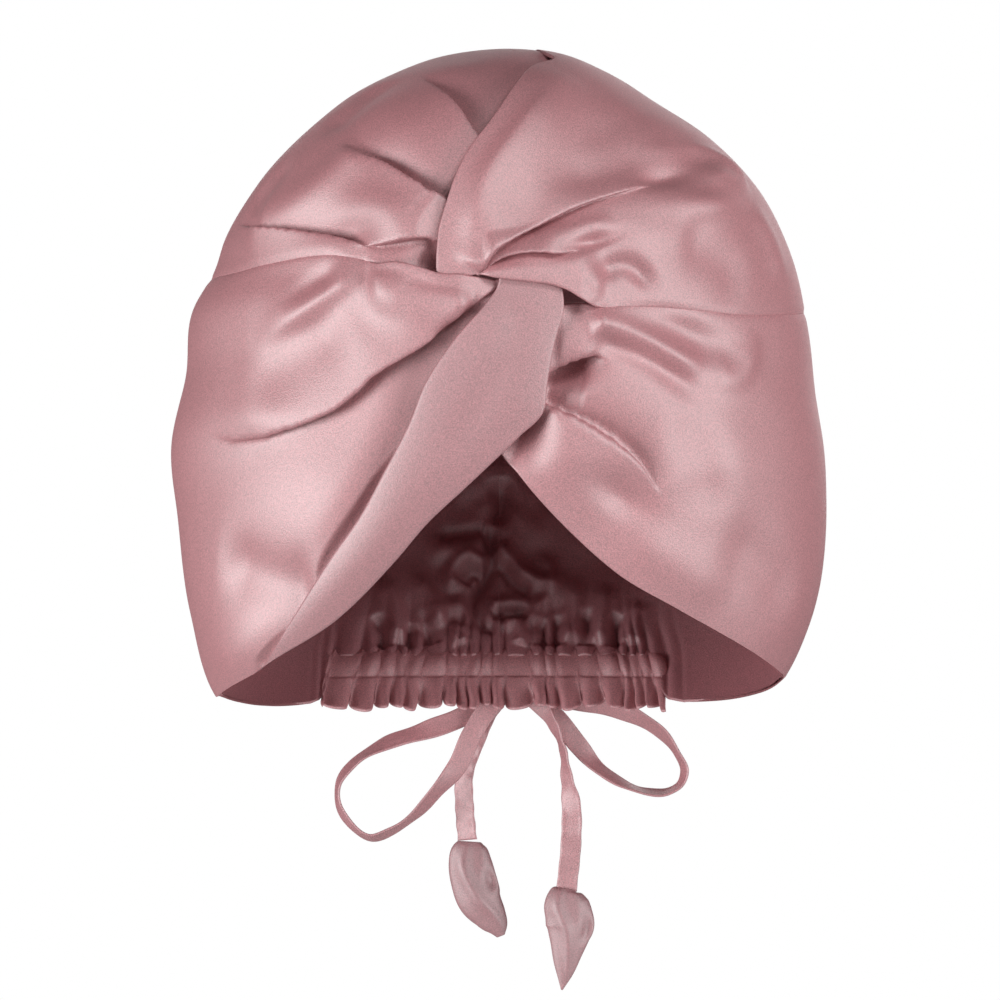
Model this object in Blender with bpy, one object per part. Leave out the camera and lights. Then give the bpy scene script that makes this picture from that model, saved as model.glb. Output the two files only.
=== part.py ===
"""Sleep bonnet: a satin turban with a twisted front, an elastic nape casing and a drawstring bow.

Millimetres inside the functions, metres in the meshes. X is to the wearer's left, -Y is the face
side, +Z is up. The origin is where the inside of the crown rests on the top of the head.
"""

import bpy
import numpy as np

MM = 0.001
WALL = 1.4
SEAM_GAP = 0.7

CENTRE = np.array([0.0, 0.0, -100.0])
FRONT_DEPTH = 122.0
BACK_DEPTH = 128.0
ROUNDNESS = 2.2
ROOF_RISE = 105.0
ROOF_REACH = 127.0

LAYER_BAND = 2.1
LAYER_LOBE = 4.9
LAYER_TIP = 4.4

CASING_TOP = -249.0
CASING_HEIGHT = 11.0
RUFFLE_HEIGHT = 10.0
CASING_THICK = 2.8
CASING_LEFT = -73.0
CASING_RIGHT = 68.0
CASING_FLARE = 0.05
CASING_CLEARANCE = 0.4
RUFFLE_THICK = 1.6
GATHERS = 15
GATHER_DEPTH = 1.6
HEM_WAVE = 1.3
CASING_PROUD = 1.0

RIBBON_WIDTH = 9.0
RIBBON_THICK = 1.3
KNOT_HEIGHT = -257.0
KNOT_X = 7.0
KNOT_STAND_OFF = 6.0
LEAF_SIDES = 16
LEAF_FULLNESS = 0.42

# Half outline of the bonnet seen from the front, as (x, z), once round from the nape on the left.
OUTLINE = [
    (-70, -290), (-116, -262), (-126, -229), (-131, -190), (-134, -161), (-128, -133), (-125, -105),
    (-117, -91), (-112, -76), (-99, -54), (-77, -31), (-46, -10), (-20, -1), (5, 1), (28, -2.2), (43, -8.5),
    (64, -21), (85, -35), (106, -57), (119, -83), (127, -114), (130, -141), (133, -161), (134, -196),
    (131, -220), (118, -254), (70, -290),
]


def smooth_step(value, low, high):
    t = np.clip((value - low) / (high - low), 0.0, 1.0)
    return t * t * (3 - 2 * t)


def outline_table():
    """Angle about CENTRE and the outline's distance from it, repeated a turn either side."""
    points = np.array(OUTLINE, float) - CENTRE[[0, 2]]
    angle = (np.degrees(np.arctan2(points[:, 1], points[:, 0])) + 90) % 360 - 90
    order = np.argsort(angle)
    angle = angle[order]
    radius = np.hypot(points[:, 0], points[:, 1])[order]
    return np.concatenate([angle - 360, angle, angle + 360]), np.tile(radius, 3)


ANGLES, RADII = outline_table()
SLOPES = np.gradient(RADII, ANGLES)


def outline_radius(x, z):
    """Distance from CENTRE to the outline towards (x, z), on a cubic through the outline's points."""
    angle = (np.degrees(np.arctan2(z - CENTRE[2], x)) + 90) % 360 - 90
    at = np.clip(np.searchsorted(ANGLES, angle) - 1, 0, len(ANGLES) - 2)
    span = ANGLES[at + 1] - ANGLES[at]
    t = (angle - ANGLES[at]) / span
    start = (2 * t**3 - 3 * t**2 + 1) * RADII[at] + (t**3 - 2 * t**2 + t) * span * SLOPES[at]
    end = (3 * t**2 - 2 * t**3) * RADII[at + 1] + (t**3 - t**2) * span * SLOPES[at + 1]
    return start + end


def depth_of(y):
    return np.where(y < 0, FRONT_DEPTH, BACK_DEPTH)


def onto_form(points):
    """Moves points along their rays from CENTRE onto the bonnet's smooth form."""
    offset = np.asarray(points, float) - CENTRE
    radius = outline_radius(offset[..., 0], offset[..., 2] + CENTRE[2])
    across = np.hypot(offset[..., 0], offset[..., 2]) / radius
    along = np.abs(offset[..., 1]) / depth_of(offset[..., 1])
    scale = (across**ROUNDNESS + along**ROUNDNESS) ** (-1 / ROUNDNESS)
    return CENTRE + offset * scale[..., None]


def form_normal(points):
    offset = points - CENTRE
    rho = np.hypot(offset[..., 0], offset[..., 2]) + 1e-9
    radius = outline_radius(offset[..., 0], points[..., 2])
    slope = (rho / radius) ** (ROUNDNESS - 1) / radius / rho
    depth = depth_of(offset[..., 1])
    along = np.sign(offset[..., 1]) * (np.abs(offset[..., 1]) / depth) ** (ROUNDNESS - 1) / depth
    normal = np.stack([offset[..., 0] * slope, along, offset[..., 2] * slope], -1)
    return normal / np.linalg.norm(normal, axis=-1, keepdims=True)


def face(x, z):
    """The point of the form's front half at (x, z)."""
    share = np.hypot(x, z - CENTRE[2]) / outline_radius(x, z)
    y = -FRONT_DEPTH * max(0.0, 1 - share**ROUNDNESS) ** (1 / ROUNDNESS)
    return np.array([x, y, z], float)


def nape(x, z):
    """The point of the form's back half at (x, z)."""
    point = face(x, z)
    return point * (1, -BACK_DEPTH / FRONT_DEPTH, 1)


def flank(side, y, z):
    """The point of the form's left (-1) or right (1) side at (y, z)."""
    x = side * 125.0
    shrink = (1 - (abs(y) / float(depth_of(y))) ** ROUNDNESS) ** (1 / ROUNDNESS)
    for _ in range(6):
        reach = float(outline_radius(x, z)) * shrink
        x = side * (reach**2 - (z - CENTRE[2]) ** 2) ** 0.5
    return np.array([x, y, z], float)


def spline(points, at):
    """Points at shares `at` of a smooth curve's length through the given points."""
    knots = np.array(points, float)
    chord = np.concatenate([[0], np.cumsum(np.linalg.norm(np.diff(knots, axis=0), axis=1))])
    slope = np.gradient(knots, chord, axis=0)
    want = np.clip(np.asarray(at, float), 0, 1) * chord[-1]
    low = np.clip(np.searchsorted(chord, want, side="right") - 1, 0, len(chord) - 2)
    span = (chord[low + 1] - chord[low])[:, None]
    t = ((want - chord[low]) / span[:, 0])[:, None]
    start = (2 * t**3 - 3 * t**2 + 1) * knots[low] + (t**3 - 2 * t**2 + t) * span * slope[low]
    end = (3 * t**2 - 2 * t**3) * knots[low + 1] + (t**3 - t**2) * span * slope[low + 1]
    return start + end


def nearest(points, line):
    """Distance from each point to a polyline, and the share of the line's length where it is met."""
    a = line[:-1]
    step = np.diff(line, axis=0)
    length = np.linalg.norm(step, axis=1)
    start = np.concatenate([[0], np.cumsum(length)[:-1]])
    gap = points[..., None, :] - a
    t = np.clip((gap * step).sum(-1) / length**2, 0, 1)
    distance = np.linalg.norm(gap - t[..., None] * step, axis=-1)
    best = distance.argmin(-1)[..., None]
    share = np.take_along_axis((start + t * length) / length.sum(), best, -1)[..., 0]
    return np.take_along_axis(distance, best, -1)[..., 0], share


def line_of(points):
    return spline(points, np.linspace(0, 1, 40))


# The drawn edges and seams of the cloth pieces.
LOBE_EDGE = [face(-24, -99), face(-23, -89), face(-22, -79), face(-19, -69), face(-11, -50),
             face(-3, -39), face(7, -23), face(14, -12), face(22, -6)]
LOBE_FOOT = [face(-15, -96.6), face(-6, -96.8), face(2, -97.6), face(11, -98.6), face(19, -99.6),
             face(25, -101.5), face(31, -105)]
SEAM_LEFT = [face(-52, -90.3), face(-69, -89), face(-91, -90.5), face(-103, -92), flank(-1, -30, -93),
             flank(-1, 10, -94), flank(-1, 55, -95), nape(-82, -96), nape(-42, -96)]
SEAM_RIGHT = [face(36, -107.6), face(47, -108), face(60, -108), face(79, -109), face(94, -110),
              face(111, -109), flank(1, -26, -107), flank(1, 12, -104), flank(1, 55, -100), nape(82, -97),
              nape(42, -96)]
BAND_LEFT = [face(1, -97), face(0, -101), face(-5, -108), face(-17, -122), face(-27, -137),
             face(-34, -154), face(-43, -171), face(-53, -189), face(-63, -203), face(-80, -229),
             face(-91, -246)]
BAND_RIGHT = [face(23, -98), face(24, -109), face(21, -121), face(18, -137), face(16, -149), face(7, -158),
              face(-13, -177), face(-28, -191), face(-40, -205), face(-62, -227), face(-88, -244),
              face(-95, -249)]


def roof(x, y):
    """The point of the form's top at (x, y)."""
    rise = ROOF_RISE * (1 - (y / ROOF_REACH) ** 2) ** 0.5
    return onto_form([x, y, CENTRE[2] + rise])


def fold(points, line, height, width, taper=0.18):
    """Height of a rounded ridge, or of a hollow when height is negative, along a line on the form."""
    distance, share = nearest(points, line_of(line))
    ends = smooth_step(share, 0, taper) * smooth_step(1 - share, 0, taper)
    return height * np.exp(-((distance / width) ** 2)) * ends


def crown_left_lift(p):
    lift = fold(p, [face(-31, -14), face(-24, -23), face(-16, -33), face(-8, -43)], -4, 8)
    lift += fold(p, [face(-66, -38), face(-53, -49), face(-33, -62), face(-20, -69)], -4, 8)
    lift += fold(p, [face(-60, -52), face(-46, -61), face(-30, -69)], 3.5, 8)
    lift += fold(p, [face(-100, -76), face(-75, -80), face(-50, -85), face(-32, -84)], -4, 7)
    away, _ = nearest(p, line_of(LOBE_EDGE))
    return lift * smooth_step(away, 10, 22)


def crown_right_lift(p):
    edge, share = nearest(p, line_of(LOBE_EDGE + [roof(16, -20), roof(12, 5)]))
    rise = 2.1 + 1.8 * smooth_step(share, 0.08, 0.25) * (1 - smooth_step(share, 0.4, 0.62))
    lobe = rise * (1 - smooth_step(edge, 15, 36)) * (1 - smooth_step(share, 0.86, 1.0))
    foot, _ = nearest(p, line_of(LOBE_FOOT))
    over_band = LAYER_LOBE * (1 - smooth_step(foot, 11, 28)) * smooth_step(p[..., 0], -12, -3)
    over_band *= 1 - smooth_step(p[..., 0], 30, 44)
    folds = fold(p, [face(-2, -88), face(15, -76), face(33, -68), face(61, -59), face(80, -58)], -5, 7)
    folds += fold(p, [face(10, -66), face(33, -58), face(61, -48), face(80, -48)], 4, 9)
    folds += fold(p, [face(12, -84), face(30, -78), face(52, -70), face(75, -67)], 3.5, 7)
    folds += fold(p, [face(38, -97), face(46, -91), face(58, -94)], -3, 5)
    return np.maximum(lobe, over_band) + folds * smooth_step(edge, 8, 24) * smooth_step(foot, 3, 16)


def side_left_lift(p):
    top, _ = nearest(p, line_of([face(-45, -92), face(-33, -94), face(-23, -97), face(-12, -99)]))
    tip = LAYER_TIP * (1 - smooth_step(top, 6, 22)) * (1 - smooth_step(p[..., 0], -14, -9))
    tip *= smooth_step(p[..., 0], -51, -44)
    folds = fold(p, [face(-54, -97), face(-68, -104), face(-79, -111), face(-92, -119)], 4, 9)
    folds += fold(p, [face(-40, -125), face(-57, -137), face(-79, -146), face(-114, -148)], -4, 9)
    folds += fold(p, [face(-44, -150), face(-75, -162), face(-110, -160)], 3, 11)
    band, _ = nearest(p, line_of(BAND_LEFT))
    return tip + folds * smooth_step(band, 6, 20) * (1 - smooth_step(p[..., 1], -30, 0)) + nape_gathers(p)


def side_right_lift(p):
    folds = fold(p, [face(30, -120), face(47, -126), face(65, -132), face(84, -140)], -5, 7)
    folds += fold(p, [face(34, -113), face(61, -121), face(84, -130)], 3.5, 7)
    folds += fold(p, [face(90, -108), face(97, -122), face(95, -138)], 3, 8)
    folds += fold(p, [face(16, -152), face(31, -160), face(48, -170), face(59, -182)], -5, 7)
    folds += fold(p, [face(22, -143), face(40, -150), face(58, -163), face(66, -176)], 3.5, 8)
    band, _ = nearest(p, line_of(BAND_RIGHT[:8]))
    return folds * smooth_step(band, 5, 18) * (1 - smooth_step(p[..., 1], -30, 0)) + nape_gathers(p)


def nape_gathers(p):
    """Soft upright folds that grow towards the elastic casing, and the drawn-up centre seam."""
    near = smooth_step(p[..., 1], 40, 75) * (1 - smooth_step(p[..., 2], -235, -165))
    near *= smooth_step(p[..., 2], CASING_TOP + 2, CASING_TOP + 14)
    wave = np.cos(p[..., 0] / 150 * GATHERS * np.pi)
    seam = np.exp(-((p[..., 0] / 7) ** 2)) * smooth_step(p[..., 1], 0, 60)
    seam *= smooth_step(p[..., 2], CASING_TOP + 2, CASING_TOP + 14)
    return near * (1.5 + 1.6 * wave) - 2.5 * seam * (1 - smooth_step(p[..., 2], -190, -130))


def band_lift(p):
    left, _ = nearest(p, line_of(BAND_LEFT))
    right, _ = nearest(p, line_of(BAND_RIGHT))
    share = left / (left + right + 1e-9)
    round_over = 3.0 * np.sin(np.pi * np.clip(share, 0, 1)) * smooth_step(-p[..., 2], 106, 130)
    return LAYER_BAND + round_over * smooth_step(p[..., 2], -245, -200)


def patch(low, high, first, last, across, along):
    """Points of the form between four edges: low and high run along, first and last join them."""
    u = across[:, None, None]
    v = along[None, :, None]
    low_points = spline(low, across)[:, None]
    high_points = spline(high, across)[:, None]
    first_points = spline(first, along)[None]
    last_points = spline(last, along)[None]
    ruled = (1 - v) * low_points + v * high_points + (1 - u) * first_points + u * last_points
    corners = (1 - v) * ((1 - u) * low_points[0] + u * low_points[-1])
    corners = corners + v * ((1 - u) * high_points[0] + u * high_points[-1])
    return onto_form(ruled - corners)


def grid_faces(rows, columns, start=0):
    index = np.arange(rows * columns).reshape(rows, columns) + start
    quads = np.stack([index[:-1, :-1], index[1:, :-1], index[1:, 1:], index[:-1, 1:]], -1)
    return [tuple(quad) for quad in quads.reshape(-1, 4)]


def wall_faces(rows, columns):
    """Faces of a closed wall: an outer grid, an inner grid after it, and the four edges between them."""
    count = rows * columns
    outer = grid_faces(rows, columns)
    inner = [tuple(reversed(quad)) for quad in grid_faces(rows, columns, count)]
    index = np.arange(count).reshape(rows, columns)
    rim = np.concatenate([index[:, 0], index[-1, 1:], index[-2::-1, -1], index[0, -2:0:-1]])
    turned = np.roll(rim, -1)
    edges = [(b, a, a + count, b + count) for a, b in zip(rim.tolist(), turned.tolist())]
    return outer + inner + edges


def add_mesh(name, points, faces, material):
    mesh = bpy.data.meshes.new(name)
    mesh.from_pydata((np.asarray(points) * MM).tolist(), [], faces)
    mesh.update()
    obj = bpy.data.objects.new(name, mesh)
    bpy.context.collection.objects.link(obj)
    mesh.materials.append(material)
    mesh.shade_smooth()
    volume = sum(face.area * face.center.dot(face.normal) for face in mesh.polygons)
    if volume < 0:
        mesh.flip_normals()
    return obj


def add_wall(name, points, lift, material, thick=WALL):
    """Closed cloth wall over a patch of the form, its outer side `lift` millimetres proud."""
    rows, columns = points.shape[:2]
    normal = form_normal(points)
    outer = points + normal * lift[..., None]
    inner = outer - normal * thick
    both = np.concatenate([outer.reshape(-1, 3), inner.reshape(-1, 3)])
    return add_mesh(name, both, wall_faces(rows, columns), material)


def spaced(count, crowd_start=1.0, crowd_end=1.0):
    """Shares from 0 to 1 whose steps grow from crowd_start to 1 and shrink again to crowd_end."""
    middle = np.linspace(-1, 1, count - 1)
    steps = np.where(middle < 0, 1 + (crowd_start - 1) * middle**2, 1 + (crowd_end - 1) * middle**2)
    total = np.concatenate([[0], np.cumsum(steps)])
    return total / total[-1]


def shifted(points, step):
    return [np.array(point) + step for point in points]


def build_crown_left(material):
    apex = roof(16 - SEAM_GAP / 2, -20)
    rear = roof(-SEAM_GAP / 2, 62)
    low = [face(-18, -103), face(-28, -101), face(-38, -96), face(-46, -91.6)] + SEAM_LEFT
    low.append(nape(-SEAM_GAP / 2, -96))
    first = [low[0], face(-13, -90), face(-9, -76), face(-1, -58), face(9, -44), face(17, -30),
             face(23, -17), roof(27, -48), roof(23, -34), apex]
    high = [apex, roof(10 - SEAM_GAP / 2, 20), rear]
    last = [low[-1], nape(-SEAM_GAP / 2, -60), nape(-SEAM_GAP / 2, -30), rear]
    points = patch(low, high, first, last, spaced(25, 0.7, 1), spaced(14))
    add_wall("crown_left", points, crown_left_lift(points), material)


def build_crown_right(material):
    apex = roof(16 + SEAM_GAP / 2, -20)
    rear = roof(SEAM_GAP / 2, 62)
    low = [face(-23, -98.4)] + LOBE_FOOT + SEAM_RIGHT + [nape(SEAM_GAP / 2, -96)]
    first = low[:1] + LOBE_EDGE[1:] + [roof(20, -38), apex]
    high = [apex, roof(10 + SEAM_GAP / 2, 20), rear]
    last = [low[-1], nape(SEAM_GAP / 2, -60), nape(SEAM_GAP / 2, -30), rear]
    points = patch(low, high, first, last, spaced(28, 0.5, 1), spaced(15))
    add_wall("crown_right", points, crown_right_lift(points), material)


def build_side_left(material):
    below = (0, 0, -SEAM_GAP)
    low = [face(-6, -102), face(-11, -99.6), face(-16, -97.2), face(-23, -96), face(-31, -93.4),
           face(-39, -92), face(-46, -92.4)]
    low += shifted(SEAM_LEFT, below) + [nape(-SEAM_GAP / 2, -96 - SEAM_GAP)]
    first = [low[0], face(-7, -112), face(-11, -124), face(-19, -138), face(-25, -154), face(-33, -170),
             face(-43, -187), face(-54, -202), face(-72, -227), face(-90, -246), face(-101, -253),
             face(-115, -261)]
    high = [first[-1], nape(-112, -264), nape(-104, -266), nape(-95, -267.5), nape(-87, -268.4),
            nape(-81, -268.2), nape(-78.2, -265), nape(-76.6, -258), nape(-75.4, -252.5),
            nape(-74, CASING_TOP + 1)]
    high += [nape(x, CASING_TOP + 1) for x in (-66, -50, -33, -17, -SEAM_GAP / 2)]
    last = [low[-1], nape(-SEAM_GAP / 2, -140), nape(-SEAM_GAP / 2, -190), high[-1]]
    points = patch(low, high, first, last, spaced(33, 0.8, 0.55), spaced(14))
    add_wall("side_left", points, side_left_lift(points), material)


def build_side_right(material):
    below = (0, 0, -SEAM_GAP)
    low = [face(13, -109), face(24, -108.6), face(30, -107.8)] + shifted(SEAM_RIGHT, below)
    low.append(nape(SEAM_GAP / 2, -96 - SEAM_GAP))
    first = [low[0], face(10, -131), face(5, -148), face(0, -162), face(9, -174), face(26, -193),
             face(45, -210), face(70, -225), face(98, -241), face(117, -253)]
    high = [first[-1], nape(114, -257), nape(104, -261), nape(93, -265), nape(83, -267.6),
            nape(76.5, -267.8), nape(73.4, -265), nape(71.8, -258), nape(70.6, -252.5),
            nape(69, CASING_TOP + 1)]
    high += [nape(x, CASING_TOP + 1) for x in (60, 45, 30, 15, SEAM_GAP / 2)]
    last = [low[-1], nape(SEAM_GAP / 2, -140), nape(SEAM_GAP / 2, -190), high[-1]]
    points = patch(low, high, first, last, spaced(33, 0.8, 0.55), spaced(14))
    add_wall("side_right", points, side_right_lift(points), material)


def build_twist_band(material):
    first = [BAND_LEFT[0], face(12, -96), BAND_RIGHT[0]]
    last = [BAND_LEFT[-1], face(-93, -247.6), BAND_RIGHT[-1]]
    points = patch(BAND_LEFT, BAND_RIGHT, first, last, spaced(21), spaced(7))
    add_wall("twist_band", points, band_lift(points), material)


def build_nape_casing(material):
    """Elastic channel with the gathered ruffle below it, one closed wall that waves in and out."""
    columns, rows = 53, 6
    x = np.linspace(CASING_LEFT, CASING_RIGHT, columns)[:, None]
    v = np.linspace(0, 1, rows)[None]
    across = x * (1 + CASING_FLARE * v)
    z = CASING_TOP - CASING_CLEARANCE - (CASING_HEIGHT + RUFFLE_HEIGHT) * v + 0 * x
    share = np.hypot(across, z - CENTRE[2]) / outline_radius(across, z)
    y = BACK_DEPTH * np.clip(1 - share**ROUNDNESS, 0.001, 1) ** (1 / ROUNDNESS)
    points = np.stack([across, y, z], -1)
    phase = (x - CASING_LEFT) / (CASING_RIGHT - CASING_LEFT) * GATHERS * 2 * np.pi
    wave = np.cos(phase) * GATHER_DEPTH * (0.35 + 0.65 * smooth_step(v, 0.45, 0.9))
    points[..., 2] += HEM_WAVE * np.cos(phase + 1) * smooth_step(v, 0.6, 1.0)
    normal = form_normal(points)
    thick = CASING_THICK - (CASING_THICK - RUFFLE_THICK) * smooth_step(v + 0 * x, 0.5, 0.6)
    outer = points + normal * (wave + CASING_PROUD)[..., None]
    inner = outer - normal * thick[..., None]
    both = np.concatenate([outer.reshape(-1, 3), inner.reshape(-1, 3)])
    add_mesh("nape_casing", both, wall_faces(columns, rows), material)


def ribbon(name, route, material, count):
    """Flat ribbon along (x, y, z, seen half width) points, turned in depth where it is seen narrower."""
    at = np.linspace(0, 1, count)
    centre = spline([point[:3] for point in route], at)
    steps = np.linalg.norm(np.diff([point[:3] for point in route], axis=0), axis=1)
    chord = np.concatenate([[0], np.cumsum(steps)])
    seen = np.interp(at, chord / chord[-1], [point[3] for point in route]) / (RIBBON_WIDTH / 2)
    seen = np.clip(seen, 0, 1)[:, None]
    tangent = np.gradient(centre, axis=0)
    tangent /= np.linalg.norm(tangent, axis=1, keepdims=True)
    side = np.cross(tangent, (0, 1, 0))
    side /= np.linalg.norm(side, axis=1, keepdims=True)
    deep = np.cross(tangent, side)
    across = side * seen + deep * np.sqrt(1 - seen**2)
    through = np.cross(tangent, across)
    corners = ((-1, 0), (-0.8, -1), (0.8, -1), (1, 0), (0.8, 1), (-0.8, 1))
    rings = [centre + across * RIBBON_WIDTH / 2 * i + through * RIBBON_THICK / 2 * j for i, j in corners]
    add_tube(name, np.stack(rings, 1), material)


def add_tube(name, rings, material):
    """Closed tube through rings of points, with a flat cap on each end."""
    count, around = rings.shape[:2]
    faces = []
    for ring in range(count - 1):
        for k in range(around):
            a = ring * around + k
            b = ring * around + (k + 1) % around
            faces.append((a, b, b + around, a + around))
    last = (count - 1) * around
    faces.append(tuple(reversed(range(around))))
    faces.append(tuple(range(last, last + around)))
    add_mesh(name, rings.reshape(-1, 3), faces, material)


def leaf(name, sections, material):
    """Padded leaf tip through (x, y, z, half width) sections, as full as each section is wide."""
    x, y, z, half = np.array(sections, float).T
    centre = np.stack([x, y, z], 1)
    axis = np.gradient(centre, axis=0)
    axis /= np.linalg.norm(axis, axis=1, keepdims=True)
    side = np.cross(axis, (0, 1, 0))
    side /= np.linalg.norm(side, axis=1, keepdims=True)
    turn = np.linspace(0, 2 * np.pi, LEAF_SIDES, endpoint=False)
    thick = half[:, None, None] * LEAF_FULLNESS
    across = side[:, None] * half[:, None, None] * np.cos(turn)[None, :, None]
    rings = centre[:, None] + across + thick * np.sin(turn)[None, :, None] * np.array([0, 1, 0])
    add_tube(name, rings, material)


def build_bow_knot(material):
    """The knot against the casing, with the short leads out of the casing either side of it."""
    x = np.linspace(-16, 30, 25)
    swell = np.exp(-(((x - KNOT_X) / 7.5) ** 4))
    depth = np.array([nape(value, KNOT_HEIGHT)[1] for value in x]) + KNOT_STAND_OFF + 3.4 * swell
    tall = 4.2 + 2.4 * swell
    thick = 0.7 + 3.4 * swell
    turn = np.linspace(0, 2 * np.pi, 10, endpoint=False)
    rings = np.stack([
        np.repeat(x[:, None], 10, 1),
        depth[:, None] + thick[:, None] * np.sin(turn),
        KNOT_HEIGHT + tall[:, None] * np.cos(turn),
    ], -1)
    add_tube("bow_knot", rings, material)


# Ribbon routes behind the nape, as (x, y, z, half of the width seen from the front).
LOOP_LEFT = [
    (2, 97, -265, 4), (-4, 96, -269, 4.4), (-10, 95, -273, 4.4), (-18, 94, -277, 4.5), (-32, 93, -282, 3.9),
    (-50, 92, -288, 2.4), (-63, 91, -296, 1.3), (-69, 91, -304, 1.3), (-69, 91, -314, 1.1),
    (-65, 91, -321, 1.5), (-55, 91, -328, 1.7), (-46, 91, -325, 1.7), (-36, 91, -318, 1.9),
    (-27, 90, -308, 3), (-18, 90, -297, 4.4), (-12, 90, -284, 4.5), (-6, 90, -274, 4.5), (-1, 90, -268, 4.5),
]
LOOP_RIGHT = [
    (13, 98, -266, 4), (20, 97, -268, 4.3), (32, 95, -269, 4.3), (44, 94, -271, 4.2), (61, 93, -277, 3.4),
    (71, 92, -284, 2.1), (77, 92, -292, 1.3), (80, 92, -299, 1.1), (78, 92, -305, 1.3), (73, 92, -308, 1.1),
    (63, 92, -308, 1), (52, 92, -304, 1.5), (43, 92, -298, 2.6), (34, 92, -288, 4.2), (26, 93, -278, 4.4),
    (15, 94, -268, 4.4),
]
TAIL_RIGHT = [
    (11, 89, -265, 4), (17, 89, -270, 3.9), (22, 88, -277, 2.4), (27, 88, -288, 0.9), (29, 88, -301, 2.2),
    (31, 88, -313, 4.3), (31, 88, -329, 4.5), (29, 88, -349.8, 4.5),
]
TAIL_LEFT = [
    (3, 102, -265, 4), (-4, 102, -273, 4.2), (-10, 101, -286, 4.2), (-15, 100, -301, 3.9),
    (-15, 99, -314, 4.1), (-13.7, 98, -329, 4.2),
]

# Leaf tips as sections (x, y, z, half width) from the neck to the point.
LEAF_RIGHT = [
    (28.7, 88, -350.8, 4), (28.8, 88, -352.2, 6.3), (29.2, 88, -355.5, 9), (30, 88, -361, 10),
    (30.6, 88, -365.5, 10.2), (30.1, 88, -370.6, 8.6), (29.4, 88, -378.8, 6.2), (28.7, 88, -386, 4),
    (27, 88, -393.2, 0.4),
]
LEAF_LEFT = [
    (-12.7, 98, -330.9, 3.8), (-12.9, 98, -333.6, 7), (-13.2, 98, -338.6, 8.8), (-10.7, 98, -348.5, 10.2),
    (-8.2, 98, -356, 10), (-4.3, 98, -362.3, 7.7), (-1.6, 98, -367, 5.4), (0.8, 98, -371, 1.2),
]


def satin(name, red, green, blue, roughness):
    material = bpy.data.materials.new(name)
    material.use_nodes = True
    shader = material.node_tree.nodes["Principled BSDF"]
    shader.inputs["Base Color"].default_value = (red, green, blue, 1)
    shader.inputs["Roughness"].default_value = roughness
    shader.inputs["Metallic"].default_value = 0.0
    material.diffuse_color = (red, green, blue, 1)
    return material


def main():
    for obj in list(bpy.data.objects):
        bpy.data.objects.remove(obj)
    build_crown_left(satin("crown_left_satin", 0.42, 0.21, 0.23, 0.36))
    build_crown_right(satin("crown_right_satin", 0.44, 0.22, 0.24, 0.36))
    build_side_left(satin("side_left_satin", 0.41, 0.20, 0.22, 0.36))
    build_side_right(satin("side_right_satin", 0.43, 0.21, 0.23, 0.36))
    build_twist_band(satin("twist_band_satin", 0.43, 0.21, 0.23, 0.34))
    build_nape_casing(satin("casing_satin", 0.36, 0.17, 0.19, 0.42))
    build_bow_knot(satin("knot_satin", 0.42, 0.20, 0.22, 0.4))
    ribbon("loop_left", LOOP_LEFT, satin("loop_left_satin", 0.43, 0.21, 0.23, 0.4), 48)
    ribbon("loop_right", LOOP_RIGHT, satin("loop_right_satin", 0.43, 0.21, 0.23, 0.4), 44)
    ribbon("tail_left", TAIL_LEFT, satin("tail_left_satin", 0.43, 0.21, 0.23, 0.4), 20)
    ribbon("tail_right", TAIL_RIGHT, satin("tail_right_satin", 0.43, 0.21, 0.23, 0.4), 26)
    leaf("leaf_left", LEAF_LEFT, satin("leaf_left_satin", 0.42, 0.20, 0.22, 0.38))
    leaf("leaf_right", LEAF_RIGHT, satin("leaf_right_satin", 0.42, 0.20, 0.22, 0.38))


main()
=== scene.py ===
"""Sleep bonnet: the satin with its folds, seams, gathers, ribbons and leaf tips, over the CAD pieces."""

import bpy
import numpy as np
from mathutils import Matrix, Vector, noise


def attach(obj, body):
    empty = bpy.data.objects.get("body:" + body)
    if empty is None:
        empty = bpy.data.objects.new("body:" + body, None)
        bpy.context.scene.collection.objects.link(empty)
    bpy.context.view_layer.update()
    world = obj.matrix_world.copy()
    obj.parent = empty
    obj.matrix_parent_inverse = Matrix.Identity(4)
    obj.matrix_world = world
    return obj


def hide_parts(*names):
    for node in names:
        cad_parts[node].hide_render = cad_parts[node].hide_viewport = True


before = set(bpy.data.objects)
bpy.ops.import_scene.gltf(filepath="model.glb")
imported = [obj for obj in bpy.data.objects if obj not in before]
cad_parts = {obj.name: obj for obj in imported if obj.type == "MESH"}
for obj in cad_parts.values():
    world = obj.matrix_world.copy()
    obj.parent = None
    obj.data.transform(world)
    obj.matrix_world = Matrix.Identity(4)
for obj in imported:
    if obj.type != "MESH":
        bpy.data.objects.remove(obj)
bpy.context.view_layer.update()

MM = 0.001
WALL = 1.4

CENTRE = np.array([0.0, 0.0, -100.0])
FRONT_DEPTH = 122.0
BACK_DEPTH = 128.0
ROUNDNESS = 2.2
SEAM_GAP = 0.5
LOWER = (0, 0, -SEAM_GAP)

LAYER_BAND = 2.3
LAYER_LOBE = 4.8
LAYER_TIP = 4.4

CASING_TOP = -249.0
PANEL_HEM = CASING_TOP - 1.5
CASING_HEIGHT = 11.0
RUFFLE_HEIGHT = 10.0
CASING_LEFT = -73.0
CASING_RIGHT = 68.0

# Height of the crown's seam at the back, and the form's roof: its rise over CENTRE and half its depth.
BACK_SEAM = -96
ROOF_RISE = 105
ROOF_REACH = 127

# The folds of the front die out between these two depths.
FOLDS_END = (-30, 20)
# How strongly, and within what distance, a lap draws the mesh to its crease, and how far its crest leans.
CREASE_PULL = 0.93
CREASE_REACH = 2.6
CREST_LEAN = 0.36
SEED_STEP = 17.3

RIBBON_WIDTH = 9.0
RIBBON_THICK = 1.1
KNOT_HEIGHT = -257.0
KNOT_X = 7.0
KNOT_STAND_OFF = 6.0

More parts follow.
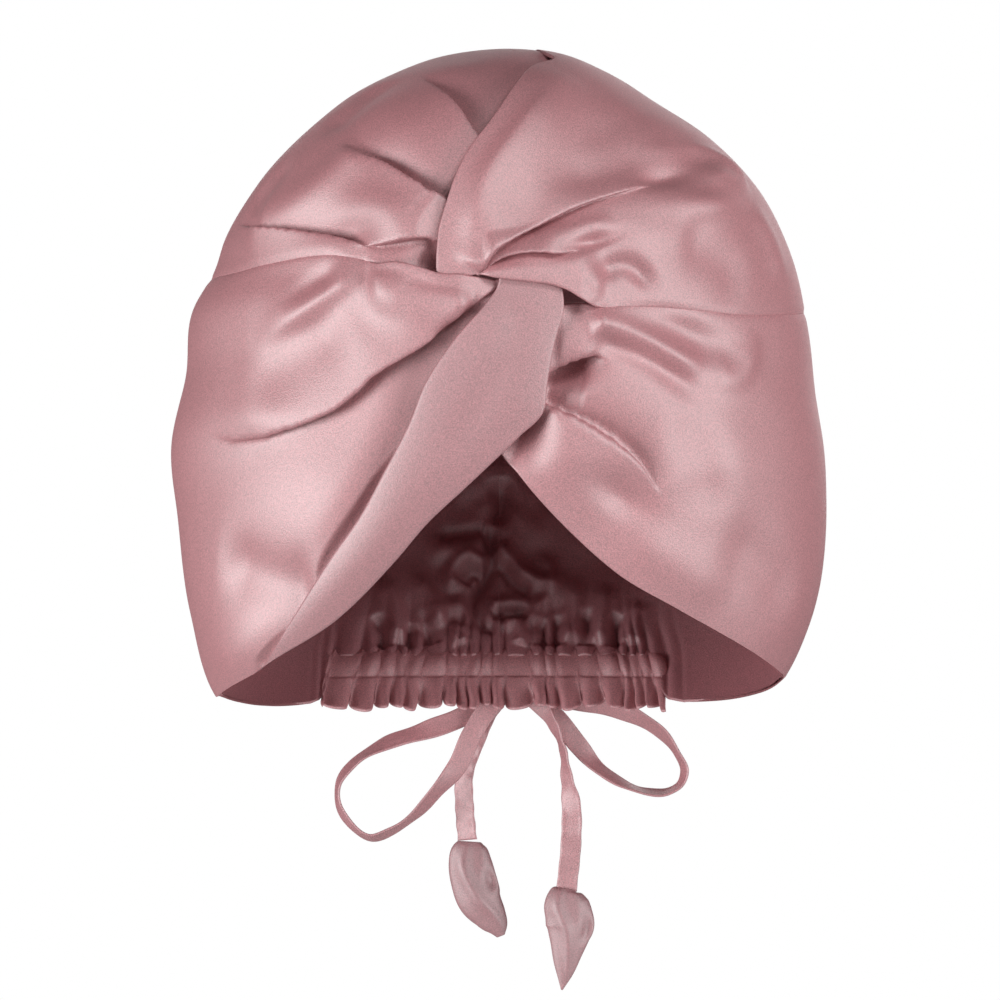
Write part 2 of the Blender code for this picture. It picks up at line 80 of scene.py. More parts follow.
# Half outline of the bonnet seen from the front, as (x, z), once round from the nape on the left.
OUTLINE = [
    (-70, -290), (-116, -262), (-126, -229), (-131, -190), (-134, -161), (-128, -133), (-125, -105),
    (-117, -91), (-112, -76), (-99, -54), (-77, -31), (-46, -10), (-20, -1), (5, 1.0), (28, -2.2),
    (43, -8.5), (64, -21), (85, -35), (106, -57), (119, -83), (127, -114), (130, -141), (133, -161),
    (134, -196), (131, -220), (118, -254), (70, -290),
]


# ---------------------------------------------------------------- the bonnet's smooth form


def smooth_step(value, low, high):
    t = np.clip((value - low) / (high - low), 0.0, 1.0)
    return t * t * (3 - 2 * t)


def outline_table():
    """Angles about CENTRE, in degrees, and the outline's distance at each, repeated either side."""
    points = np.array(OUTLINE, float) - CENTRE[[0, 2]]
    angle = (np.degrees(np.arctan2(points[:, 1], points[:, 0])) + 90) % 360 - 90
    order = np.argsort(angle)
    angle = angle[order]
    radius = np.hypot(points[:, 0], points[:, 1])[order]
    return np.concatenate([angle - 360, angle, angle + 360]), np.tile(radius, 3)


ANGLES, RADII = outline_table()
SLOPES = np.gradient(RADII, ANGLES)


def outline_radius(x, z):
    """Distance from CENTRE to the outline towards (x, z), on a cubic through its points."""
    angle = (np.degrees(np.arctan2(z - CENTRE[2], x)) + 90) % 360 - 90
    at = np.clip(np.searchsorted(ANGLES, angle) - 1, 0, len(ANGLES) - 2)
    span = ANGLES[at + 1] - ANGLES[at]
    t = (angle - ANGLES[at]) / span
    start = (2 * t**3 - 3 * t**2 + 1) * RADII[at] + (t**3 - 2 * t**2 + t) * span * SLOPES[at]
    end = (3 * t**2 - 2 * t**3) * RADII[at + 1] + (t**3 - t**2) * span * SLOPES[at + 1]
    return start + end


def depth_of(y):
    return np.where(y < 0, FRONT_DEPTH, BACK_DEPTH)


def onto_form(points):
    """Moves points along their rays from CENTRE onto the bonnet's smooth form."""
    offset = np.asarray(points, float) - CENTRE
    radius = outline_radius(offset[..., 0], offset[..., 2] + CENTRE[2])
    across = np.hypot(offset[..., 0], offset[..., 2]) / radius
    along = np.abs(offset[..., 1]) / depth_of(offset[..., 1])
    scale = (across**ROUNDNESS + along**ROUNDNESS) ** (-1 / ROUNDNESS)
    return CENTRE + offset * scale[..., None]


def form_normal(points):
    offset = points - CENTRE
    rho = np.hypot(offset[..., 0], offset[..., 2]) + 1e-9
    radius = outline_radius(offset[..., 0], points[..., 2])
    slope = (rho / radius) ** (ROUNDNESS - 1) / radius / rho
    depth = depth_of(offset[..., 1])
    along = np.sign(offset[..., 1]) * (np.abs(offset[..., 1]) / depth) ** (ROUNDNESS - 1) / depth
    normal = np.stack([offset[..., 0] * slope, along, offset[..., 2] * slope], -1)
    return normal / np.linalg.norm(normal, axis=-1, keepdims=True)


def face(x, z):
    """The point of the form's front half at (x, z)."""
    share = np.hypot(x, z - CENTRE[2]) / outline_radius(x, z)
    y = -FRONT_DEPTH * max(0.0, 1 - share**ROUNDNESS) ** (1 / ROUNDNESS)
    return np.array([x, y, z], float)


def nape(x, z):
    """The point of the form's back half at (x, z)."""
    point = face(x, z)
    return point * (1, -BACK_DEPTH / FRONT_DEPTH, 1)


def flank(side, y, z):
    """The point of the form's left (-1) or right (1) side at (y, z)."""
    x = side * 125.0
    shrink = (1 - (abs(y) / float(depth_of(y))) ** ROUNDNESS) ** (1 / ROUNDNESS)
    for _ in range(6):
        reach = float(outline_radius(x, z)) * shrink
        x = side * (reach**2 - (z - CENTRE[2]) ** 2) ** 0.5
    return np.array([x, y, z], float)


def spline(points, at):
    """Points at shares `at` of a smooth curve's length through the given points."""
    knots = np.array(points, float)
    chord = np.concatenate([[0], np.cumsum(np.linalg.norm(np.diff(knots, axis=0), axis=1))])
    slope = np.gradient(knots, chord, axis=0)
    want = np.clip(np.asarray(at, float), 0, 1) * chord[-1]
    low = np.clip(np.searchsorted(chord, want, side="right") - 1, 0, len(chord) - 2)
    span = (chord[low + 1] - chord[low])[:, None]
    t = ((want - chord[low]) / span[:, 0])[:, None]
    start = (2 * t**3 - 3 * t**2 + 1) * knots[low] + (t**3 - 2 * t**2 + t) * span * slope[low]
    end = (3 * t**2 - 2 * t**3) * knots[low + 1] + (t**3 - t**2) * span * slope[low + 1]
    return start + end


def nearest(points, line):
    """Distance from each point to a polyline, and the share of the line's length where it is met."""
    a = line[:-1]
    step = np.diff(line, axis=0)
    length = np.linalg.norm(step, axis=1)
    start = np.concatenate([[0], np.cumsum(length)[:-1]])
    gap = points[..., None, :] - a
    t = np.clip((gap * step).sum(-1) / length**2, 0, 1)
    distance = np.linalg.norm(gap - t[..., None] * step, axis=-1)
    best = distance.argmin(-1)[..., None]
    share = np.take_along_axis((start + t * length) / length.sum(), best, -1)[..., 0]
    return np.take_along_axis(distance, best, -1)[..., 0], share


def line_of(points):
    return spline(points, np.linspace(0, 1, 40))


# The drawn edges and seams of the cloth pieces.
LOBE_EDGE = [
    face(-24, -99), face(-23, -89), face(-22, -79), face(-19, -69), face(-11, -50), face(-3, -39),
    face(7, -23), face(14, -12), face(22, -6),
]
LOBE_FOOT = [
    face(-15, -96.6), face(-6, -96.8), face(2, -97.6), face(11, -98.6), face(19, -99.6),
    face(25, -101.5), face(31, -105),
]
SEAM_LEFT = [
    face(-52, -90.3), face(-69, -89), face(-91, -90.5), face(-103, -92), flank(-1, -30, -93),
    flank(-1, 10, -94), flank(-1, 55, -95), nape(-82, -96), nape(-42, -96),
]
SEAM_RIGHT = [
    face(36, -107.6), face(47, -108), face(60, -108), face(79, -109), face(94, -110),
    face(111, -109), flank(1, -26, -107), flank(1, 12, -104), flank(1, 55, -100), nape(82, -97),
    nape(42, -96),
]
BAND_LEFT = [
    face(1, -97), face(0, -101), face(-5, -108), face(-17, -122), face(-27, -137), face(-34, -154),
    face(-43, -171), face(-53, -189), face(-63, -203), face(-80, -229), face(-91, -246),
]
BAND_RIGHT = [
    face(23, -98), face(24, -109), face(21, -121), face(18, -137), face(16, -149), face(7, -158),
    face(-13, -177), face(-28, -191), face(-40, -205), face(-62, -227), face(-88, -244),
    face(-95, -249),
]


def roof(x, y):
    """The point of the form's top at (x, y)."""
    return onto_form([x, y, CENTRE[2] + ROOF_RISE * (1 - (y / ROOF_REACH) ** 2) ** 0.5])


def patch(low, high, first, last, across, along):
    """Points of the form between four edges: low and high run along, first and last join them."""
    u = across[:, None, None]
    v = along[None, :, None]
    low_points = spline(low, across)[:, None]
    high_points = spline(high, across)[:, None]
    first_points = spline(first, along)[None]
    last_points = spline(last, along)[None]
    ruled = (1 - v) * low_points + v * high_points + (1 - u) * first_points + u * last_points
    corners = (1 - v) * ((1 - u) * low_points[0] + u * low_points[-1])
    corners = corners + v * ((1 - u) * high_points[0] + u * high_points[-1])
    return onto_form(ruled - corners)


# ---------------------------------------------------------------- folds in the cloth


def signed_nearest(points, line):
    """Distance to a line, positive on its left as seen from outside, and the share along it."""
    distance, share = nearest(points, line)
    chord = np.concatenate([[0], np.cumsum(np.linalg.norm(np.diff(line, axis=0), axis=1))])
    at = np.clip(np.searchsorted(chord, share * chord[-1], side="right") - 1, 0, len(line) - 2)
    step = line[at + 1] - line[at]
    turn = (np.cross(step, points - line[at]) * (points - CENTRE)).sum(-1)
    return distance * np.sign(turn), share


def ends_of(share, start, end):
    return smooth_step(share, 0, max(start, 1e-6)) * smooth_step(1 - share, 0, max(end, 1e-6))


def ridge(p, line, height, left, right, start, end):
    """Rounded ridge, or hollow when height is negative, with its own width on each side."""
    side, share = signed_nearest(p, line_of(line))
    width = np.where(side > 0, left, right)
    return height * np.exp(-((side / width) ** 2)) * ends_of(share, start, end)


def lap(p, line, height, roll, drop, hollow, start, end):
    """Cloth folded over along a line: a crest on its left, and a sudden drop to a hollow on its right.

    height is the crest's, roll the width it falls away over, drop the hollow's depth, hollow its width.
    """
    side, share = signed_nearest(p, line_of(line))
    crest = height * np.exp(-((np.maximum(side, 0) / roll) ** 1.3))
    low = -drop * np.exp(-((np.maximum(-side, 0) / hollow) ** 1.3))
    return np.where(side > 0, crest, low) * ends_of(share, start, end)


def drawn_to(points, laps):
    """Draws a grid's points in towards the lines of its laps, so that each crease is crisp."""
    for line, *_, start, end in laps:
        route = line_of(line)
        distance, share = nearest(points, route)
        chord = np.concatenate([[0], np.cumsum(np.linalg.norm(np.diff(route, axis=0), axis=1))])
        target = np.stack([np.interp(share * chord[-1], chord, route[:, i]) for i in range(3)], -1)
        pull = CREASE_PULL * np.exp(-((distance / CREASE_REACH) ** 2))
        pull = pull * ends_of(share, start * 0.3, end * 0.3)
        points = points + (target - points) * pull[..., None]
    return onto_form(points)


def overhang(p, laps):
    """How far each crest leans over the hollow beside it, as a step along the form."""
    normal = form_normal(p)
    lean = np.zeros_like(p)
    for line, height, roll, drop, _, start, end in laps:
        route = line_of(line)
        side, share = signed_nearest(p, route)
        chord = np.concatenate([[0], np.cumsum(np.linalg.norm(np.diff(route, axis=0), axis=1))])
        at = np.clip(np.searchsorted(chord, share * chord[-1], side="right") - 1, 0, len(route) - 2)
        along = (route[at + 1] - route[at]) / np.diff(chord)[at][..., None]
        amount = CREST_LEAN * (height + drop) * np.exp(-((side / (0.8 * roll)) ** 2)) * (side > 0)
        amount *= ends_of(share, start, end)
        lean -= np.cross(normal, along) * amount[..., None]
    return lean * (1 - smooth_step(p[..., 1:2], *FOLDS_END))


def puff(p, x, z, wide, tall, height, lean=0.0):
    """Soft swelling of the front at (x, z), or a dent when height is negative, turned by lean degrees."""
    turn = np.radians(lean)
    dx, dz = p[..., 0] - x, p[..., 2] - z
    u = dx * np.cos(turn) + dz * np.sin(turn)
    v = dz * np.cos(turn) - dx * np.sin(turn)
    return height * np.exp(-((u / wide) ** 2) - (v / tall) ** 2) * (p[..., 1] < 0)


def ripple(p, scale, seed):
    """Smooth random field from about -1 to 1, with waves about 1 / scale millimetres long."""
    flat = (p * scale + seed * SEED_STEP).reshape(-1, 3)
    values = [noise.noise(Vector(point)) for point in flat.tolist()]
    return np.array(values).reshape(p.shape[:-1])


def gather_phase(x):
    """Uneven spacing of the gathers along the casing, in turns."""
    return x / 6.6 + 0.42 * np.sin(x / 13.0 + 1.0) + 0.3 * np.sin(x / 5.4 + 2.0) + 0.12 * np.sin(x / 3.1)


def napes_of(*pairs):
    return [nape(x, z) for x, z in pairs]


# Crumples of the nape as (line, height towards the inside, left, right, start, end).
NAPE_RIDGES = [
    (napes_of((-1, -172), (1, -184), (-2, -196)), -6.0, 4, 5, 0.3, 0.3),
    (napes_of((-3, -193), (-4, -201), (-3, -210), (-7, -218), (-11, -227), (-8, -237), (-1, -242)),
     -4.5, 2.4, 3, 0.1, 0.1),
    (napes_of((-34, -207), (-18, -204), (-5, -201)), 4.0, 5, 7, 0.3, 0.1),
    (napes_of((-28, -199), (-16, -198), (-6, -196)), -3.5, 3, 3.5, 0.3, 0.1),
    (napes_of((-19, -224), (-21, -214), (-13, -208), (-5, -211)), 4.5, 3.4, 3.4, 0.2, 0.1),
    (napes_of((-15, -220), (-12, -215), (-7, -215)), -3.5, 2.6, 2.6, 0.2, 0.2),
    (napes_of((-13, -228), (-24, -231), (-36, -240)), 3.0, 4, 4, 0.2, 0.3),
    (napes_of((-36, -214), (-29, -228), (-25, -240)), 3.5, 5, 4, 0.3, 0.2),
    (napes_of((-31, -230), (-31, -238), (-29, -246)), -4.0, 3, 3, 0.3, 0.1),
    (napes_of((-52, -214), (-45, -230), (-44, -246)), 3.5, 6, 4, 0.3, 0.2),
    (napes_of((-54, -232), (-51, -240), (-50, -247)), -4.5, 3, 3.4, 0.3, 0.1),
    (napes_of((-38, -236), (-39, -242), (-40, -247)), -4.5, 2.6, 2.8, 0.3, 0.1),
    (napes_of((-16, -236), (-18, -243), (-16, -247)), 3.0, 4, 4, 0.3, 0.2),
    (napes_of((-1, -202), (8, -213), (19, -219), (30, -221)), 4.5, 4, 4, 0.1, 0.3),
    (napes_of((0, -209), (7, -219), (15, -223)), -4.0, 2.8, 3, 0.2, 0.2),
    (napes_of((-4, -229), (6, -227), (16, -229)), 3.5, 3, 3, 0.1, 0.3),
    (napes_of((-4, -234), (6, -232), (14, -234)), -3.5, 2.5, 2.5, 0.2, 0.3),
    (napes_of((15, -207), (23, -213), (23, -224), (15, -231), (13, -240)), 4.0, 3.6, 3.6, 0.2, 0.2),
    (napes_of((1, -240), (7, -236), (10, -242), (9, -247)), 3.5, 2.8, 2.8, 0.2, 0.1),
    (napes_of((17, -234), (19, -241), (18, -247)), -4.0, 2.6, 3, 0.3, 0.1),
    (napes_of((32, -216), (33, -232), (31, -247)), 3.5, 5, 4, 0.3, 0.2),
    (napes_of((26, -232), (25, -240), (25, -247)), -4.5, 2.6, 3, 0.3, 0.1),
    (napes_of((38, -230), (38, -240), (37, -247)), -4.5, 3, 3, 0.3, 0.1),
    (napes_of((48, -218), (45, -234), (43, -247)), 3.5, 6, 4, 0.3, 0.2),
    (napes_of((52, -232), (50, -240), (50, -247)), -4.5, 3, 3, 0.3, 0.1),
    (napes_of((62, -226), (59, -238), (57, -247)), 3.0, 5, 4, 0.3, 0.2),
]


def nape_relief(p):
    """Gathers that spread up from the casing, and the crumpled ruching beside the centre-back seam."""
    x, z = p[..., 0], p[..., 2]
    behind = smooth_step(p[..., 1], 30, 66)
    high = np.maximum(z - CASING_TOP, 0)
    away = np.abs(x)
    spread = 1 - smooth_step(away, 62, 84)
    wander = ripple(p, 1 / 24, 5) * 7.0 * smooth_step(high, 3, 30)
    turns = gather_phase(x * (1 + 0.002 * high) + wander)
    gather = 1 - 2 * np.abs(np.sin(np.pi * turns)) ** 0.8
    relief = 1.6 * np.exp(-((high / 13) ** 1.5)) * gather * spread
    crumple = ripple(p, 1 / 17, 6) * 3.6 + ripple(p, 1 / 8, 7) * 1.5 * np.exp(-((away / 30) ** 2))
    extent = smooth_step(high, 2, 14) * (1 - smooth_step(z, -172, -110))
    relief += crumple * extent * np.exp(-((away / 60) ** 2))
    relief -= sum(ridge(p, *shape) for shape in NAPE_RIDGES)
    return relief * behind


def seam_puckers(p, line, seed):
    """The groove a sewn seam pulls in the cloth, with the small puckers that its stitches leave."""
    side, share = signed_nearest(p, line_of(line))
    distance = np.abs(side)
    groove = -0.5 * np.exp(-((distance / 1.5) ** 2))
    run = share * len(line) * 7.0
    pucker = 0.035 * np.sin(run * 2 * np.pi + ripple(p, 1 / 30, seed) * 6) * np.exp(-distance / 6)
    return groove + pucker * smooth_step(distance, 0.5, 2.5)


def soft_waves(p, seed, height):
    return height * (ripple(p, 1 / 50, seed) + 0.25 * ripple(p, 1 / 24, seed + 5))


def faces_of(*pairs):
    return [face(x, z) for x, z in pairs]


# Laps as (line, height, roll, drop, hollow, start, end), ridges as (line, height, left, right, start, end).
LEFT_LAPS = [
    (faces_of((-3, -48), (-11, -40), (-16, -33), (-24, -23), (-31, -14)), 3.0, 18, 4.4, 9, 0.05, 0.6),
    (faces_of((-18, -70), (-26, -66), (-33, -62), (-43, -55), (-53, -49), (-61, -43)),
     3.2, 17, 4.8, 9, 0.05, 0.55),
    (faces_of((-45, -86), (-59, -83), (-75, -80), (-94, -76.5), (-106, -71)), 2.4, 11, 5.0, 10, 0.25, 0.6),
    (faces_of((-57, -86), (-46, -84), (-33, -82), (-17, -82)), 2.2, 9, 4.2, 8, 0.55, 0.03),
    (faces_of((-118, -154), (-102, -159), (-79, -153), (-67, -148), (-57, -141), (-50, -134), (-29, -121),
              (-8, -104)), 3.8, 22, 4.6, 16, 0.6, 0.05),
    (faces_of((-24, -120), (-17, -113), (-8, -106), (0, -101)), 0.9, 4, 1.4, 4, 0.3, 0.05),
]
LEFT_RIDGES = [
    (faces_of((-50, -45), (-62, -55), (-80, -68), (-99, -76)), 3.8, 10, 12, 0.15, 0.2),
    (faces_of((-80, -46), (-92, -58), (-102, -67)), -2.2, 10, 10, 0.3, 0.3),
    (faces_of((-72, -40), (-56, -26), (-44, -14)), -2.0, 10, 10, 0.3, 0.3),
    (faces_of((-50, -94), (-60, -99), (-72, -107), (-84, -114.5), (-96, -122)), 4.2, 5, 9, 0.2, 0.5),
    (faces_of((-58, -93), (-66, -96.5), (-76, -102), (-86, -109)), -2.6, 5, 4.5, 0.3, 0.5),
    (faces_of((-56, -112), (-74, -127), (-98, -138)), -2.6, 11, 10, 0.3, 0.3),
    (faces_of((-112, -204), (-92, -214), (-68, -217)), -5.0, 13, 12, 0.35, 0.2),
]
RIGHT_LAPS = [
    (faces_of((-10, -97), (-5, -89), (2, -83), (18, -74), (30, -68.5), (51, -62), (70, -57.5)),
     3.0, 12, 5.0, 6, 0.05, 0.75),
    (faces_of((-8, -97), (-3, -91.5), (6, -87.5), (15, -86.8), (24, -87.5), (34, -86)),
     2.0, 6, 4.0, 4.5, 0.06, 0.35),
    (faces_of((12, -135), (22, -129.5), (28, -127), (36, -126), (43, -130)), 2.6, 8, 9.0, 9, 0.02, 0.4),
    (faces_of((62, -181), (58, -175), (54, -170), (45, -162.5), (33, -154.5), (14, -146)),
     3.6, 20, 5.4, 10, 0.4, 0.05),
]
RIGHT_RIDGES = [
    (faces_of((12, -63), (28, -57.5), (42, -54), (56, -50), (88, -46)), -3.6, 10, 8, 0.25, 0.25),
    (faces_of((52, -49), (68, -45), (84, -46), (93, -53), (91, -63), (80, -69), (64, -69)),
     2.4, 6, 7, 0.2, 0.2),
    (faces_of((12, -81), (24, -79.5), (36, -77), (46, -74)), 1.8, 3.5, 5, 0.3, 0.3),
    (faces_of((38, -98), (42, -94), (49, -92), (56, -96), (58, -104)), -3.4, 4, 4.5, 0.25, 0.3),
    (faces_of((68, -80), (84, -88), (98, -101)), -2.4, 11, 11, 0.3, 0.3),
    (faces_of((98, -66), (107, -80), (112, -98)), 2.0, 10, 9, 0.3, 0.3),
    (faces_of((35, -112.5), (42, -114.5), (55, -120), (70, -127), (86, -134)), 4.4, 4.5, 6, 0.08, 0.4),
    (faces_of((78, -131), (91, -133.5), (98, -124), (97, -113)), 3.2, 7, 7, 0.3, 0.4),
    (faces_of((34, -119), (42, -122), (55, -126.5), (70, -136), (81, -146)), -3.6, 4, 5, 0.2, 0.4),
    (faces_of((64, -150), (74, -158), (80, -176), (84, -192)), -2.4, 10, 10, 0.3, 0.35),
    (faces_of((44, -194), (66, -206), (92, -222)), 2.4, 11, 11, 0.3, 0.35),
    (faces_of((84, -196), (104, -210), (118, -228)), -2.4, 11, 11, 0.3, 0.35),
]
# Swellings and dents as (x, z, wide, tall, height, lean).
LEFT_PUFFS = [
    (-24, -92, 9, 6, -9.0, 15), (-42, -73, 18, 7, 2.6, -18), (-36, -40, 12, 12, 1.8, 0),
    (-40, -106, 13, 8, 3.4, -30), (-92, -149, 18, 8, 2.2, 8), (-58, -190, 16, 26, 3.4, -35),
    (-101, -240, 15, 13, 3.2, 0), (-62, -79, 14, 5, -2.4, 8),
]
RIGHT_PUFFS = [
    (65, -56, 9, 4.2, -5.2, 8), (85, -55, 7, 6, 3.6, 0), (74, -68, 16, 6, 3.0, 4),
    (34, -84, 11, 2.8, -4.0, 16), (58, -79, 17, 7, 1.8, 12), (37, -99.5, 3.5, 5, 1.8, 0),
    (38, -114, 4, 3.5, 1.8, 0), (75, -119, 15, 6, -3.6, -24), (27, -133, 11, 6, -8.0, 8),
    (9, -157, 8, 10, -9.0, 0), (46, -181, 13, 6, -3.4, -30), (83, -168, 20, 16, 3.2, 0),
    (28, -168, 14, 10, 2.2, -30),
]


def folds_of(p, laps, ridges, puffs):
    folds = sum(lap(p, *shape) for shape in laps) + sum(ridge(p, *shape) for shape in ridges)
    folds += sum(puff(p, *shape) for shape in puffs)
    return folds * (1 - smooth_step(p[..., 1], *FOLDS_END))


def crown_left_lift(p):
    away, _ = nearest(p, line_of(LOBE_EDGE))
    shade = -2.6 * np.exp(-((away / 10) ** 2)) * smooth_step(p[..., 2], -90, -60)
    loose = folds_of(p, LEFT_LAPS, LEFT_RIDGES, LEFT_PUFFS)
    loose += soft_waves(p, 1, 1.5) * smooth_step(away, 4, 30)
    loose = np.minimum(loose + shade, 0.3 + 6 * smooth_step(away, 1, 14))
    return np.maximum(loose, -9.0) + seam_puckers(p, SEAM_LEFT, 2)


def crown_right_lift(p):
    edge, share = nearest(p, line_of(LOBE_EDGE + [roof(16, -20), roof(12, 5)]))
    rise = 2.4 + 2.2 * smooth_step(share, 0.08, 0.25) * (1 - smooth_step(share, 0.45, 0.65))
    rise -= 1.6 * smooth_step(share, 0.5, 0.72)
    lobe = rise * (1 - smooth_step(edge, 10, 34)) * (1 - smooth_step(share, 0.86, 1.0))
    foot, _ = nearest(p, line_of(LOBE_FOOT))
    over_band = LAYER_LOBE * (1 - smooth_step(foot, 9, 26)) * smooth_step(p[..., 0], -12, -3)
    over_band *= 1 - smooth_step(p[..., 0], 30, 42)
    folds = folds_of(p, RIGHT_LAPS, RIGHT_RIDGES, RIGHT_PUFFS)
    folds += ridge(p, faces_of((-14, -86), (-8, -66), (6, -44), (24, -24)), 2.0, 6, 14, 0.2, 0.3)
    folds += ridge(p, faces_of((-6, -82), (12, -60), (34, -42), (60, -32)), -2.2, 9, 11, 0.2, 0.35)
    folds *= smooth_step(edge, 2, 12) * smooth_step(foot, 1.0, 7)
    waves = soft_waves(p, 3, 1.5) * smooth_step(edge, 4, 30) * smooth_step(foot, 4, 24)
    return np.maximum(lobe, over_band) + folds + waves + seam_puckers(p, SEAM_RIGHT, 4)


def side_left_lift(p):
    top, _ = nearest(p, line_of([face(-45, -92), face(-33, -94), face(-23, -97), face(-12, -99)]))
    tip = LAYER_TIP * (1 - smooth_step(top, 4, 20)) * (1 - smooth_step(p[..., 0], -16, 0))
    tip *= smooth_step(p[..., 0], -51, -44)
    band, _ = nearest(p, line_of(BAND_LEFT))
    shade = -3.8 * np.exp(-((band / 11) ** 2)) * smooth_step(-p[..., 2], 108, 135)
    shade *= smooth_step(p[..., 2], -225, -180)
    folds = folds_of(p, LEFT_LAPS, LEFT_RIDGES, LEFT_PUFFS) * smooth_step(top, 0.5, 5)
    folds = np.minimum(folds, 0.2 + 7 * smooth_step(band, 0, 12))
    waves = soft_waves(p, 1, 1.5) * smooth_step(band, 4, 30)
    return tip + folds + shade + waves + seam_puckers(p, shifted(SEAM_LEFT, LOWER), 2) + nape_relief(p)


def side_right_lift(p):
    band, _ = nearest(p, line_of(BAND_RIGHT[:8]))
    shade = -1.6 * np.exp(-((band / 8) ** 2))
    pocket = puff(p, 29, -107, 5, 6, -2.6)
    folds = folds_of(p, RIGHT_LAPS, RIGHT_RIDGES, RIGHT_PUFFS)
    folds = np.minimum(folds, 0.2 + 7 * smooth_step(band, 0, 12))
    waves = soft_waves(p, 3, 1.5) * smooth_step(band, 4, 26)
    return folds + pocket + shade + waves + seam_puckers(p, shifted(SEAM_RIGHT, LOWER), 4) + nape_relief(p)


def band_lift(p):
    left, _ = nearest(p, line_of(BAND_LEFT))
    right, _ = nearest(p, line_of(BAND_RIGHT))
    share = left / (left + right + 1e-9)
    body = smooth_step(-p[..., 2], 104, 128) * smooth_step(p[..., 2], -245, -200)
    full = 2.0 * np.sin(np.pi * np.clip(share, 0, 1)) ** 0.8 * body
    folds = ridge(p, faces_of((10, -104), (4, -124), (-8, -148), (-24, -172)), -0.9, 6, 6, 0.15, 0.4)
    return LAYER_BAND + full + folds * smooth_step(left, 0.5, 4) * smooth_step(right, 0.5, 4)


# ---------------------------------------------------------------- making the meshes


def grid_faces(rows, columns, start=0):
    index = np.arange(rows * columns).reshape(rows, columns) + start
    quads = np.stack([index[:-1, :-1], index[1:, :-1], index[1:, 1:], index[:-1, 1:]], -1)
    return quads.reshape(-1, 4)


def cloth_object(name, points, quads, material):
    mesh = bpy.data.meshes.new(name)
    mesh.from_pydata((np.asarray(points) * MM).tolist(), [], [tuple(quad) for quad in quads])
    mesh.update()
    mesh.materials.append(material)
    mesh.shade_smooth()
    volume = sum(side.area * side.center.dot(side.normal) for side in mesh.polygons)
    if volume < 0:
        mesh.flip_normals()
    obj = bpy.data.objects.new(name, mesh)
    bpy.context.collection.objects.link(obj)
    return obj


def closed_wall(name, outer, inner, material, lining=None):
    """One closed cloth wall between two grids, its rim rounded like a folded edge."""
    rows, columns = outer.shape[:2]
    count = rows * columns
    index = np.arange(count).reshape(rows, columns)
    rim = np.concatenate([index[:, 0], index[-1, 1:], index[-2::-1, -1], index[0, -2:0:-1]])
    inward = np.concatenate([index[:, 1], index[-2, 1:], index[-2::-1, -2], index[1, -2:0:-1]])
    flat_outer = outer.reshape(-1, 3)
    flat_inner = inner.reshape(-1, 3)
    away = flat_outer[rim] - flat_outer[inward]
    away /= np.linalg.norm(away, axis=1, keepdims=True) + 1e-9
    half = np.linalg.norm(flat_outer[rim] - flat_inner[rim], axis=1, keepdims=True) / 2
    middle = (flat_outer[rim] + flat_inner[rim]) / 2
    through = (flat_outer[rim] - flat_inner[rim]) / (2 * half)
    turns = np.pi * np.array([1, 2, 3]) / 4
    rings = [middle + half * (away * np.sin(turn) + through * np.cos(turn)) for turn in turns]
    points = np.concatenate([flat_outer, flat_inner] + rings)
    start = 2 * count
    length = len(rim)
    chain = [rim] + [start + i * length + np.arange(length) for i in range(3)] + [rim + count]
    quads = [grid_faces(rows, columns), grid_faces(rows, columns, count)[:, ::-1]]
    for upper, lower in zip(chain[:-1], chain[1:]):
        turned = np.roll(upper, -1)
        quads.append(np.stack([turned, upper, lower, np.roll(lower, -1)], -1))
    wall = cloth_object(name, points, np.concatenate(quads), material)
    if lining:
        wall.data.materials.append(lining)
        each = len(quads[0])
        is_lining = [int(each <= i < 2 * each) for i in range(len(wall.data.polygons))]
        wall.data.polygons.foreach_set("material_index", is_lining)
    return wall


def relaxed(grid, amount, rounds=3):
    """Evens out a grid of points where amount is above 0, leaving its rim where it is."""
    grid = grid.copy()
    inside = amount[1:-1, 1:-1, None] * 0.5
    for _ in range(rounds):
        around = (grid[:-2, 1:-1] + grid[2:, 1:-1] + grid[1:-1, :-2] + grid[1:-1, 2:]) / 4
        grid[1:-1, 1:-1] += (around - grid[1:-1, 1:-1]) * inside
    return grid


def cloth_wall(name, points, lift, material, laps=()):
    normal = form_normal(points)
    outer = points + normal * lift[..., None]
    if laps:
        near = np.min([nearest(points, line_of(shape[0]))[0] for shape in laps], axis=0)
        outer = relaxed(outer + overhang(points, laps), np.exp(-((near / 2.5) ** 2)))
    lining = satin(name.replace("_satin", "_reverse"), REVERSE, REVERSE_ROUGHNESS, REVERSE_IOR)
    return closed_wall(name, outer, outer - normal * WALL, material, lining)


def spaced(count, *stops):
    """count shares from 0 to 1, with the steps between them following (share, size) stops."""
    where = np.linspace(0, 1, 400)
    size = np.interp(where, [stop[0] for stop in stops], [stop[1] for stop in stops])
    steps = np.concatenate([[0], np.cumsum(1 / size[:-1])])
    return np.interp(np.linspace(0, 1, count), steps / steps[-1], where)


def shifted(points, step):
    return [np.array(point) + step for point in points]


EVEN = ((0, 1), (1, 1))


